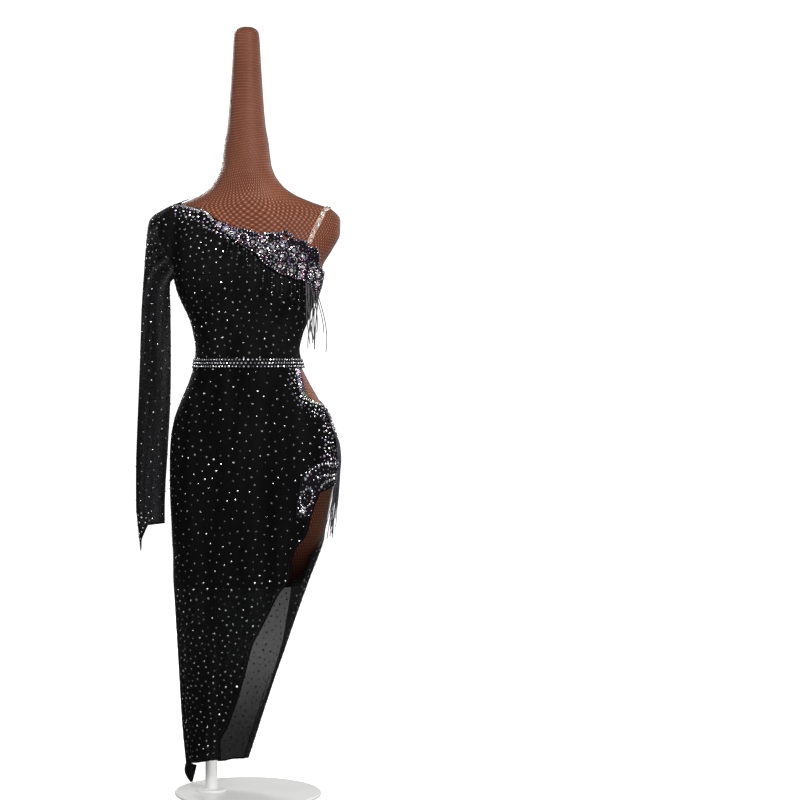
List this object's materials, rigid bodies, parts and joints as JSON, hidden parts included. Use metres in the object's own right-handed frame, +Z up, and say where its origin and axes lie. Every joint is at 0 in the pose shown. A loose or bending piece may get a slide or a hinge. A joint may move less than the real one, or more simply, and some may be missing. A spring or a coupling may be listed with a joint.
{
  "type": "latin dance dress on a limbless dress form",
  "caption": "Long black one-sleeved latin dance dress with crystals, fringe, a bare hip, an open back and a slit, on a limbless brown form with a neck cone and plain stand.",
  "frame": {"origin": "centre of the base plate's underside", "axes": "+Z up; the dress's front faces -Y; +X is the wearer's left"},
  "size_m": [0.4253, 0.3, 1.571],
  "materials": {
    "black_cloth": "matt black stretch mesh, doubled",
    "sheer_cloth": "single sheer black stretch mesh",
    "lace": "black lace with crystals",
    "crystal_band": "black band covered with clear crystals",
    "nude_strap": "skin-coloured strap with crystals",
    "fringe": "fine black bead and thread strands",
    "form_skin": "brown shell covered with fine brown net",
    "white_paint": "smooth white paint",
    "bright_metal": "bright"
  },
  "bodies": {
    "root": {"back_bodice": "black_cloth", "back_skirt": "black_cloth", "back_strap": "nude_strap", "base": "white_paint", "belt": "crystal_band", "bust_fringe": "fringe", "form": "form_skin", "front_bodice": "black_cloth", "front_skirt": "black_cloth", "hem_tail": "black_cloth", "hip_applique": "lace", "hip_fringe": "fringe", "neck_applique": "lace", "pole": "white_paint", "shoulder_strap": "nude_strap", "sleeve": "sheer_cloth", "strap_slider": "bright_metal"}
  },
  "joints": []
}
